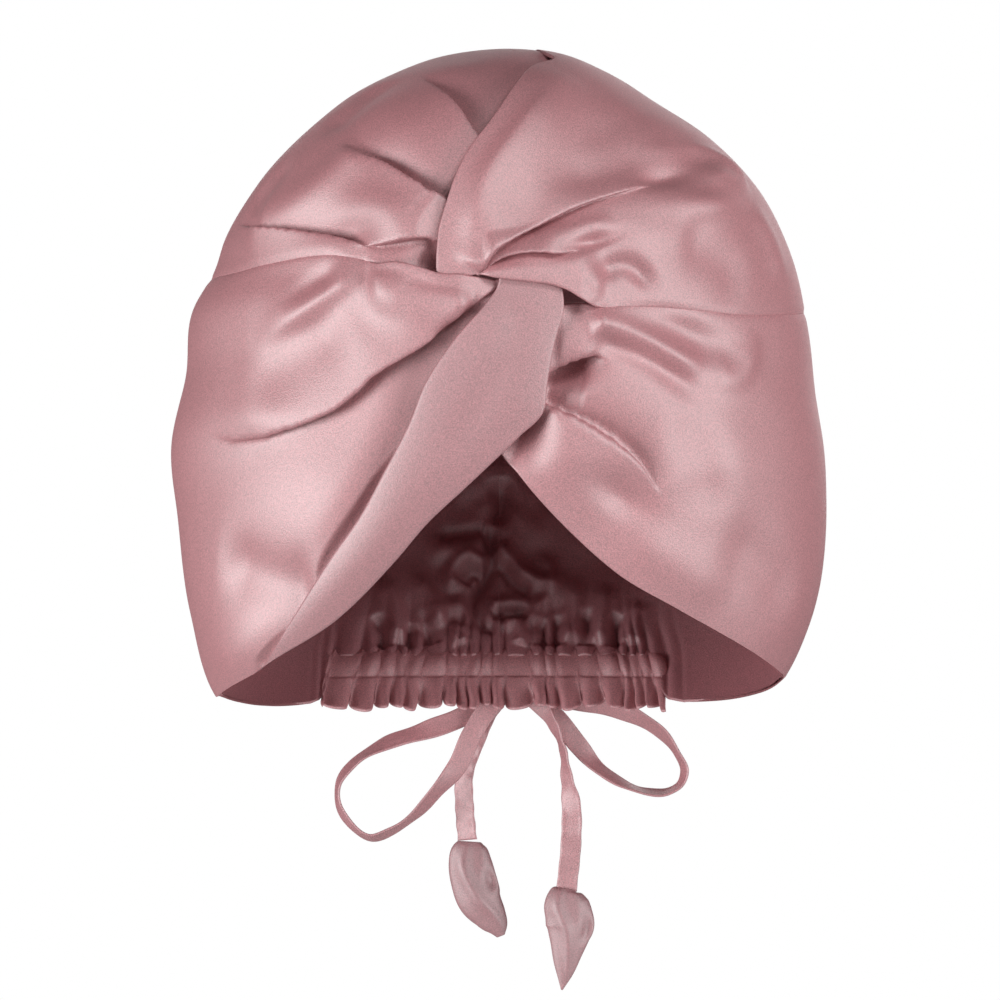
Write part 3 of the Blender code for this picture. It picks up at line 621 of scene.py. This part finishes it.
def make_crown_left(material):
    apex = roof(16 - SEAM_GAP / 2, -20)
    rear = roof(-SEAM_GAP / 2, 62)
    low = [face(-18, -103), face(-28, -101), face(-38, -96), face(-46, -91.6)] + SEAM_LEFT
    low.append(nape(-SEAM_GAP / 2, BACK_SEAM))
    first = low[:1] + faces_of((-13, -90), (-9, -76), (-1, -58), (9, -44), (17, -30), (23, -17))
    first += [roof(27, -48), roof(23, -34), apex]
    high = [apex, roof(10 - SEAM_GAP / 2, 20), rear]
    last = [low[-1], nape(-SEAM_GAP / 2, -60), nape(-SEAM_GAP / 2, -30), rear]
    along = spaced(250, (0, 0.7), (0.4, 0.8), (0.55, 1.6), (1, 2.0))
    points = drawn_to(patch(low, high, first, last, along, spaced(165, *EVEN)), LEFT_LAPS)
    return cloth_wall("crown_left_satin", points, crown_left_lift(points), material, LEFT_LAPS)


def make_crown_right(material):
    apex = roof(16 + SEAM_GAP / 2, -20)
    rear = roof(SEAM_GAP / 2, 62)
    low = [face(-23, -98.4)] + LOBE_FOOT + SEAM_RIGHT + [nape(SEAM_GAP / 2, BACK_SEAM)]
    first = low[:1] + LOBE_EDGE[1:] + [roof(20, -38), apex]
    high = [apex, roof(10 + SEAM_GAP / 2, 20), rear]
    last = [low[-1], nape(SEAM_GAP / 2, -60), nape(SEAM_GAP / 2, -30), rear]
    along = spaced(290, (0, 0.5), (0.2, 0.6), (0.45, 0.9), (0.6, 1.6), (1, 2.2))
    points = patch(low, high, first, last, along, spaced(165, (0, 0.7), (0.4, 0.8), (1, 1.3)))
    points = drawn_to(points, RIGHT_LAPS)
    return cloth_wall("crown_right_satin", points, crown_right_lift(points), material, RIGHT_LAPS)


def make_side_left(material):
    low = faces_of((6, -99.6), (-3, -98.4), (-11, -97.6), (-17, -96.4), (-24, -95.4), (-31, -93.4),
                   (-39, -92), (-46, -92.4)) + shifted(SEAM_LEFT, LOWER)
    low.append(nape(-SEAM_GAP / 2, BACK_SEAM - SEAM_GAP))
    first = low[:1] + faces_of((2, -110), (-6, -124), (-19, -138), (-25, -154), (-33, -170), (-43, -187),
                               (-54, -202), (-72, -227), (-90, -246), (-101, -253), (-115, -261))
    high = first[-1:] + napes_of((-112, -264), (-104, -266), (-95, -267.5), (-86, -268.4), (-79, -268.4),
                                 (-75.5, -266), (-74.5, -258))
    high += [nape(x, PANEL_HEM) for x in (-73, -66, -50, -33, -17, -SEAM_GAP / 2)]
    last = [low[-1], nape(-SEAM_GAP / 2, -140), nape(-SEAM_GAP / 2, -190), high[-1]]
    along = spaced(290, (0, 0.8), (0.35, 0.9), (0.5, 1.7), (0.62, 1.5), (0.78, 0.8), (1, 0.7))
    points = drawn_to(patch(low, high, first, last, along, spaced(160, *EVEN)), LEFT_LAPS)
    return cloth_wall("side_left_satin", points, side_left_lift(points), material, LEFT_LAPS)


def make_side_right(material):
    low = [face(13, -109), face(24, -108.6), face(30, -107.8)] + shifted(SEAM_RIGHT, LOWER)
    low.append(nape(SEAM_GAP / 2, BACK_SEAM - SEAM_GAP))
    first = low[:1] + faces_of((10, -131), (5, -148), (0, -162), (9, -174), (26, -193), (45, -210),
                               (70, -225), (98, -241), (117, -253))
    high = first[-1:] + napes_of((114, -257), (104, -261), (93, -265), (82, -267.8), (74.5, -268.2),
                                 (71, -266), (70, -258))
    high += [nape(x, PANEL_HEM) for x in (68, 60, 45, 30, 15, SEAM_GAP / 2)]
    last = [low[-1], nape(SEAM_GAP / 2, -140), nape(SEAM_GAP / 2, -190), high[-1]]
    along = spaced(290, (0, 0.8), (0.35, 0.9), (0.5, 1.7), (0.62, 1.5), (0.78, 0.8), (1, 0.7))
    points = drawn_to(patch(low, high, first, last, along, spaced(160, *EVEN)), RIGHT_LAPS)
    return cloth_wall("side_right_satin", points, side_right_lift(points), material, RIGHT_LAPS)


def make_twist_band(material):
    first = [BAND_LEFT[0], face(12, -96), BAND_RIGHT[0]]
    last = [BAND_LEFT[-1], face(-93, -247.6), BAND_RIGHT[-1]]
    points = patch(BAND_LEFT, BAND_RIGHT, first, last, spaced(230, *EVEN), spaced(60, *EVEN))
    return cloth_wall("twist_band_satin", points, band_lift(points), material)


def make_nape_casing(material):
    """Elastic channel gathered in uneven puffs, with the ruffle that hangs below its stitching."""
    columns, rows = 450, 56
    x = np.linspace(CASING_LEFT, CASING_RIGHT, columns)[:, None]
    v = np.linspace(0, 1, rows)[None]
    across = x * (1 + 0.05 * v)
    z = CASING_TOP + 0.6 - (CASING_HEIGHT + RUFFLE_HEIGHT) * v + 0 * x
    share = np.hypot(across, z - CENTRE[2]) / outline_radius(across, z)
    y = BACK_DEPTH * np.clip(1 - share**ROUNDNESS, 1e-4, 1) ** (1 / ROUNDNESS)
    points = np.stack([across + 0 * v, y, z], -1)
    normal = form_normal(points)
    split = CASING_HEIGHT / (CASING_HEIGHT + RUFFLE_HEIGHT)
    channel = 1 - smooth_step(v, split - 0.03, split + 0.03)
    within = np.clip(v / split, 0, 1)
    wander = ripple(points, 1 / 9, 21)
    turns = gather_phase(x + 1.2 * wander)
    crease = 1 - np.abs(np.sin(np.pi * turns)) ** 0.55
    size = 0.55 + 0.45 * np.cos(turns * 1.7 + 1)
    swell = np.sin(np.pi * within**0.85) ** 0.9 * channel
    bulge = (1.3 + 1.8 * size) * (1 - crease) * swell
    ruffle = smooth_step(v, split, 1.0)
    below = 1 - channel
    sway = np.cos(2 * np.pi * turns) + 0.35 * np.cos(2 * np.pi * turns * 0.47 + 2)
    swing = 0.55 * sway * channel * (1 - 0.7 * swell) + sway * (0.8 + 2.4 * ruffle) * below
    sink = -1.5 * crease * (channel + below * (1 - 0.5 * ruffle))
    points[..., 2] += (np.cos(2 * np.pi * turns * 0.31 + 1) + 1.4 - 3.2 * (1 - crease)) * ruffle
    points[..., 0] -= 0.8 * np.sin(2 * np.pi * turns) * ruffle
    outward = normal * (1, 1, 0)
    outward /= np.linalg.norm(outward, axis=-1, keepdims=True)
    middle = points - normal * (0.6 - 0.3 * sink[..., None]) + outward * swing[..., None]
    half = 0.7 + bulge + 0.9 * (1 - crease) * below * (1 - ruffle)
    outer = middle + normal * half[..., None]
    inner = middle - normal * (half - 0.6 * sink)[..., None]
    return closed_wall("nape_casing_satin", outer, inner, material)


def ribbon_rings(route, count):
    """Ring centres, width direction and thickness direction along a ribbon's route."""
    at = np.linspace(0, 1, count)
    centre = spline([point[:3] for point in route], at)
    steps = np.linalg.norm(np.diff([point[:3] for point in route], axis=0), axis=1)
    chord = np.concatenate([[0], np.cumsum(steps)])
    seen = np.interp(at, chord / chord[-1], [point[3] for point in route]) / (RIBBON_WIDTH / 2)
    seen = np.clip(seen, 0, 1)
    seen = np.convolve(np.pad(seen, 6, mode="edge"), np.ones(13) / 13, mode="valid")[:, None]
    tangent = np.gradient(centre, axis=0)
    tangent /= np.linalg.norm(tangent, axis=1, keepdims=True)
    side = np.cross(tangent, (0, 1, 0))
    side /= np.linalg.norm(side, axis=1, keepdims=True)
    deep = np.cross(tangent, side)
    across = side * seen + deep * np.sqrt(1 - seen**2)
    return centre, across, np.cross(tangent, across)


def tube_quads(count, around):
    index = np.arange(count * around).reshape(count, around)
    turned = np.roll(index, -1, axis=1)
    return np.stack([index[:-1], turned[:-1], turned[1:], index[1:]], -1).reshape(-1, 4).tolist()


def closed_tube(name, rings, material):
    """Tube through rings of points, each end closed by one flat face."""
    count, around = rings.shape[:2]
    quads = tube_quads(count, around)
    quads.append(list(reversed(range(around))))
    quads.append(list(range((count - 1) * around, count * around)))
    return cloth_object(name, rings.reshape(-1, 3), quads, material)


def make_ribbon(name, route, material, count, seed):
    """Flat tie of folded satin: thick at both edges, with a stitched groove near one and a ripple."""
    centre, across, through = ribbon_rings(route, count)
    half = RIBBON_WIDTH / 2
    around = 28
    turn = np.linspace(0, 2 * np.pi, around, endpoint=False)
    wide = np.sign(np.cos(turn)) * np.abs(np.cos(turn)) ** 0.55
    body = 0.55 + 0.35 * smooth_step(np.abs(wide), 0.62, 0.86)
    body -= 0.28 * np.exp(-(((wide - 0.72) / 0.07) ** 2))
    thin = np.sign(np.sin(turn)) * np.abs(np.sin(turn)) ** 0.8 * body * RIBBON_THICK * 0.8
    travel = np.linspace(0, 1, count)[:, None]
    wave = 0.28 * np.sin(travel * 58 + seed) * wide + 0.3 * np.sin(travel * 23 + seed * 2) * (1 - wide**2)
    narrow = 1 - 0.035 * np.sin(travel * 31 + seed) ** 2
    rings = centre[:, None] + across[:, None] * (half * wide * narrow)[..., None]
    rings = rings + through[:, None] * (thin + wave)[..., None]
    return closed_tube(name, rings, material), centre


def make_leaf(name, sections, material, seed):
    """Padded leaf tip: two faces of satin drawn to a point, with soft creases from its neck."""
    x, y, z, half = np.array(sections, float).T
    rings_along, around = 90, 64
    knots = np.stack([x, y, z, half], 1)
    share = np.linspace(0, 1, rings_along)
    fine = spline(knots, share)
    centre, half = fine[:, :3], np.maximum(fine[:, 3], 0.25)
    axis = np.gradient(centre, axis=0)
    axis /= np.linalg.norm(axis, axis=1, keepdims=True)
    side = np.cross(axis, (0, 1, 0))
    side /= np.linalg.norm(side, axis=1, keepdims=True)
    turn = np.linspace(0, 2 * np.pi, around, endpoint=False)
    wide = np.cos(turn)
    fat = np.sign(np.sin(turn)) * np.abs(np.sin(turn)) ** 1.25
    travel = share[:, None]
    creases = 0.05 * np.cos(wide * 6 + seed + travel * 3) * (1 - smooth_step(travel, 0.1, 0.5))
    pinch = -0.3 * np.exp(-(((wide - 0.75) / 0.22) ** 2) - ((travel - 0.42) / 0.09) ** 2)
    spine = 0.2 * np.exp(-(((wide + 0.75 - 1.3 * travel) / 0.3) ** 2)) * np.sin(np.pi * travel)
    depth = half[:, None] * (0.42 + creases + spine + pinch) * fat
    edge = 1 + 0.02 * np.sin(travel * 15 + seed) * np.abs(wide)
    rings = centre[:, None] + side[:, None] * (half[:, None] * wide * edge)[..., None]
    rings = rings + np.array([0, 1, 0]) * depth[..., None]
    return closed_tube(name, rings, material)


def make_bow_knot(material):
    """The knot: a ribbon drawn round itself into soft ridges, with a short lead on each side."""
    count, around = 150, 48
    x = np.linspace(-16, 30, count)
    swell = np.exp(-(((x - KNOT_X) / 7.5) ** 4))[:, None]
    depth = np.array([nape(value, KNOT_HEIGHT)[1] for value in x])[:, None] + KNOT_STAND_OFF + 3.4 * swell
    turn = np.linspace(0, 2 * np.pi, around, endpoint=False)
    wrap = np.sin((x[:, None] - KNOT_X) * 1.1 + 1.4 * np.sin(turn)) * 0.55
    wrap = wrap + 0.3 * np.sin(turn * 3 + x[:, None] * 0.4)
    grow = 1 + swell * wrap * 0.16
    tall = (4.2 + 2.2 * swell) * np.sign(np.cos(turn)) * np.abs(np.cos(turn)) ** 0.8 * grow
    thick = (0.6 + 3.2 * swell) * np.sign(np.sin(turn)) * np.abs(np.sin(turn)) ** 0.8 * grow
    rings = np.stack([x[:, None] + 0 * turn, depth + thick, KNOT_HEIGHT + tall], -1)
    return closed_tube("bow_knot_satin", rings, material)


# ---------------------------------------------------------------- the satin


GRAIN_SCALE = 1900.0
GRAIN_DEPTH = 0.0003
PATCH_SCALE = 22.0


def satin(name, colour, roughness=0.6, ior=2.0):
    """Satin: a broad silky shine over rose thread, with a fine grain and a slight unevenness."""
    material = bpy.data.materials.new(name)
    material.use_nodes = True
    nodes, links = material.node_tree.nodes, material.node_tree.links
    shader = nodes["Principled BSDF"]
    shader.inputs["Roughness"].default_value = roughness
    shader.inputs["IOR"].default_value = ior
    shader.inputs["Specular IOR Level"].default_value = 1.0
    place = nodes.new("ShaderNodeTexCoord")
    shade = nodes.new("ShaderNodeTexNoise")
    shade.inputs["Scale"].default_value = PATCH_SCALE
    shade.inputs["Detail"].default_value = 3.0
    links.new(place.outputs["Object"], shade.inputs["Vector"])
    patchy = nodes.new("ShaderNodeMix")
    patchy.data_type = "RGBA"
    patchy.inputs["A"].default_value = [channel * 0.95 for channel in colour] + [1]
    patchy.inputs["B"].default_value = [channel * 1.05 for channel in colour] + [1]
    links.new(shade.outputs["Fac"], patchy.inputs["Factor"])
    floats = nodes.new("ShaderNodeTexNoise")
    floats.inputs["Scale"].default_value = GRAIN_SCALE
    floats.inputs["Detail"].default_value = 1.0
    links.new(place.outputs["Object"], floats.inputs["Vector"])
    sharper = nodes.new("ShaderNodeMapRange")
    sharper.inputs["From Min"].default_value = 0.3
    sharper.inputs["From Max"].default_value = 0.7
    sharper.inputs["To Min"].default_value = 0.66
    sharper.inputs["To Max"].default_value = 1.3
    links.new(floats.outputs["Fac"], sharper.inputs["Value"])
    thread = nodes.new("ShaderNodeVectorMath")
    thread.operation = "SCALE"
    links.new(patchy.outputs["Result"], thread.inputs[0])
    links.new(sharper.outputs["Result"], thread.inputs["Scale"])
    links.new(thread.outputs["Vector"], shader.inputs["Base Color"])
    bump = nodes.new("ShaderNodeBump")
    bump.inputs["Strength"].default_value = 0.5
    bump.inputs["Distance"].default_value = GRAIN_DEPTH
    links.new(floats.outputs["Fac"], bump.inputs["Height"])
    links.new(bump.outputs["Normal"], shader.inputs["Normal"])
    return material


ROSE = (0.42, 0.147, 0.165)
# Painted shade: a darker copy of ROSE that makes the twist band look shaded under the lobe.
BAND_PAINTED_SHADE_ROSE = (0.355, 0.122, 0.138)
# Painted shade: a darker copy of ROSE for the leaf tips, which face the lights squarely.
LEAF_PAINTED_SHADE_ROSE = (0.29, 0.098, 0.112)
# Painted light: a lighter copy of ROSE for the casing, which sits deep inside where little light reaches.
CASING_PAINTED_LIGHT_ROSE = (0.5, 0.18, 0.2)
REVERSE = (0.38, 0.13, 0.148)
REVERSE_ROUGHNESS = 0.55
REVERSE_IOR = 1.8


# ---------------------------------------------------------------- camera, light and floor

CAMERA_DISTANCE = 1.8
VIEW_HEIGHT = -0.1825
VIEW_SPAN = 0.41
FLOOR_RADIUS = 0.45
FLOOR_HEIGHT = -0.47
ROOM_LIGHT = 0.035
LIT_POINT = (0, 0, -0.17)
# Soft lights as (name, place, size, power in watts), all turned to LIT_POINT.
LIGHTS = (
    ("key_left", (-1.75, -1.05, -0.3), (1.3, 0.9), 43),
    ("key_right", (1.7, -1.15, -0.28), (1.3, 0.9), 27),
    ("crown_fill", (0.8, -1.4, 1.0), (0.8, 0.6), 16),
    ("face_fill", (0.15, -2.0, 0.3), (0.4, 0.3), 2),
    ("back_fill", (0.3, 1.9, 0.35), (1.7, 1.1), 19),
)


def make_camera():
    data = bpy.data.cameras.new("view")
    data.sensor_width = 36.0
    data.lens = data.sensor_width * CAMERA_DISTANCE / VIEW_SPAN
    camera = bpy.data.objects.new("view", data)
    camera.location = (0.0004, -CAMERA_DISTANCE, VIEW_HEIGHT)
    camera.rotation_euler = (np.pi / 2, 0, 0)
    bpy.context.collection.objects.link(camera)
    bpy.context.scene.camera = camera


def soft_light(name, place, size, power):
    data = bpy.data.lights.new(name, "AREA")
    data.shape = "RECTANGLE"
    data.size, data.size_y = size
    data.energy = power
    light = bpy.data.objects.new(name, data)
    light.location = place
    light.visible_camera = False
    light.rotation_euler = (Vector(LIT_POINT) - Vector(place)).to_track_quat("-Z", "Y").to_euler()
    bpy.context.collection.objects.link(light)


def make_studio():
    for light in LIGHTS:
        soft_light(*light)
    world = bpy.data.worlds.new("studio")
    world.use_nodes = True
    nodes, links = world.node_tree.nodes, world.node_tree.links
    room = nodes["Background"]
    room.inputs["Color"].default_value = (1, 1, 1, 1)
    room.inputs["Strength"].default_value = ROOM_LIGHT
    sweep = nodes.new("ShaderNodeBackground")
    sweep.inputs["Color"].default_value = (1, 1, 1, 1)
    path = nodes.new("ShaderNodeLightPath")
    either = nodes.new("ShaderNodeMixShader")
    links.new(path.outputs["Is Camera Ray"], either.inputs["Fac"])
    links.new(room.outputs["Background"], either.inputs[1])
    links.new(sweep.outputs["Background"], either.inputs[2])
    links.new(either.outputs["Shader"], nodes["World Output"].inputs["Surface"])
    bpy.context.scene.world = world
    bpy.context.scene.view_settings.view_transform = "Standard"


def make_floor():
    bpy.ops.object.select_all(action="DESELECT")
    place = (0, 0, FLOOR_HEIGHT)
    bpy.ops.mesh.primitive_circle_add(vertices=96, radius=FLOOR_RADIUS, fill_type="NGON", location=place)
    floor = bpy.context.active_object
    floor.name = "floor"
    floor.data.transform(floor.matrix_world)
    floor.matrix_world.identity()
    pale = bpy.data.materials.new("pale_floor")
    pale.use_nodes = True
    shader = pale.node_tree.nodes["Principled BSDF"]
    shader.inputs["Base Color"].default_value = (0.85, 0.85, 0.85, 1)
    shader.inputs["Roughness"].default_value = 0.9
    floor.data.materials.append(pale)


# ---------------------------------------------------------------- the ties' routes

# Ribbon routes behind the nape, as (x, y, z, half of the width seen from the front).
LOOP_LEFT = [
    (2, 97, -265, 4), (-4, 96, -269, 4.4), (-10, 95, -273, 4.4), (-18, 94, -277, 4.5),
    (-32, 93, -282, 3.9), (-50, 92, -288, 2.4), (-63, 91, -296, 1.3), (-69, 91, -304, 1.3),
    (-69, 91, -314, 1.1), (-65, 91, -321, 1.5), (-55, 91, -328, 1.7), (-46, 91, -325, 1.7),
    (-36, 91, -318, 1.9), (-27, 90, -308, 3), (-18, 90, -297, 4.4), (-12, 90, -284, 4.5),
    (-6, 90, -274, 4.5), (-1, 90, -268, 4.5),
]
LOOP_RIGHT = [
    (13, 98, -266, 4), (20, 97, -268, 4.3), (32, 95, -269, 4.3), (44, 94, -271, 4.2),
    (61, 93, -277, 3.4), (71, 92, -284, 2.1), (77, 92, -292, 1.3), (80, 92, -299, 1.1),
    (78, 92, -305, 1.3), (73, 92, -308, 1.1), (63, 92, -308, 1), (52, 92, -304, 1.5),
    (43, 92, -298, 2.6), (34, 92, -288, 4.2), (26, 93, -278, 4.4), (15, 94, -268, 4.4),
]
TAIL_RIGHT = [
    (11, 89, -265, 4), (17, 89, -270, 3.9), (22, 88, -277, 2.4), (27, 88, -288, 0.9),
    (29, 88, -301, 2.2), (31, 88, -313, 4.3), (31, 88, -329, 4.5), (29, 88, -350.5, 4.5),
]
TAIL_LEFT = [
    (3, 102, -265, 4), (-4, 102, -273, 4.2), (-10, 101, -286, 4.2), (-15, 100, -301, 3.9),
    (-15, 99, -314, 4.1), (-13.7, 98, -329.5, 4.2),
]

LEAF_RIGHT = [
    (28.5, 88, -349.4, 3.8), (28.2, 88, -351, 6.6), (28.6, 88, -355.5, 9.6), (30, 88, -361, 10.2),
    (30.6, 88, -365.5, 10.2), (30.1, 88, -370.6, 8.8), (29, 88, -378.8, 6.2), (28.2, 88, -386, 3.6),
    (27, 88, -393.2, 0.4),
]
LEAF_LEFT = [
    (-12.8, 98, -330.2, 5), (-12.9, 98, -332.2, 7), (-12.6, 98, -338.6, 9.4),
    (-10.4, 98, -348.9, 9.8), (-8.2, 98, -355.6, 9.5), (-3.8, 98, -362.3, 7.2),
    (-0.8, 98, -367, 4.8), (0.8, 98, -371, 1.8),
]


def add_ties():
    """The bow: its knot, two loops, two tails and their leaf tips, each built as a closed satin tube in
    place of its CAD part.
    """
    knot = make_bow_knot(satin("knot_satin", ROSE))
    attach(knot, "root")
    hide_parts("bow_knot")
    for side, sections, seed in (("left", LEAF_LEFT, 1), ("right", LEAF_RIGHT, 2)):
        name = "leaf_" + side + "_satin"
        # The leaf tips take a darker copy of the satin as painted shade.
        leaf = make_leaf(name, sections, satin(name, LEAF_PAINTED_SHADE_ROSE), seed)
        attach(leaf, "root")
        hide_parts("leaf_" + side)
    pieces = (("loop_left", LOOP_LEFT, 230, 1), ("loop_right", LOOP_RIGHT, 210, 2),
              ("tail_left", TAIL_LEFT, 90, 3), ("tail_right", TAIL_RIGHT, 120, 4))
    for name, route, count, seed in pieces:
        material = satin(name + "_satin", ROSE)
        tie, centre = make_ribbon(name + "_satin", route, material, count, seed)
        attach(tie, "root")
        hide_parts(name)


def add_panels():
    """The five cloth panels and the casing, each built as a closed satin wall in place of its CAD part; the
    flat size, area and hold listed with each are not used.
    """
    panels = (
        ("crown_left", make_crown_left, (0.33, 0.24), 0.060, "stretched"),
        ("crown_right", make_crown_right, (0.34, 0.25), 0.062, "stretched"),
        ("side_left", make_side_left, (0.36, 0.24), 0.075, "gathered"),
        ("side_right", make_side_right, (0.36, 0.24), 0.075, "gathered"),
        ("twist_band", make_twist_band, (0.19, 0.05), 0.0060, "folded"),
        ("nape_casing", make_nape_casing, (0.25, 0.03), 0.0062, "gathered"),
    )
    for node, make, flat, area, held in panels:
        # The casing takes a lighter copy of the satin as painted light.
        # The twist band takes a darker copy of the satin as painted shade.
        colour = {"twist_band": BAND_PAINTED_SHADE_ROSE, "nape_casing": CASING_PAINTED_LIGHT_ROSE}.get(node, ROSE)
        piece = make(satin(node + "_satin", colour))
        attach(piece, "root")
        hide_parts(node)


make_camera()
make_studio()
make_floor()
add_ties()
add_panels()
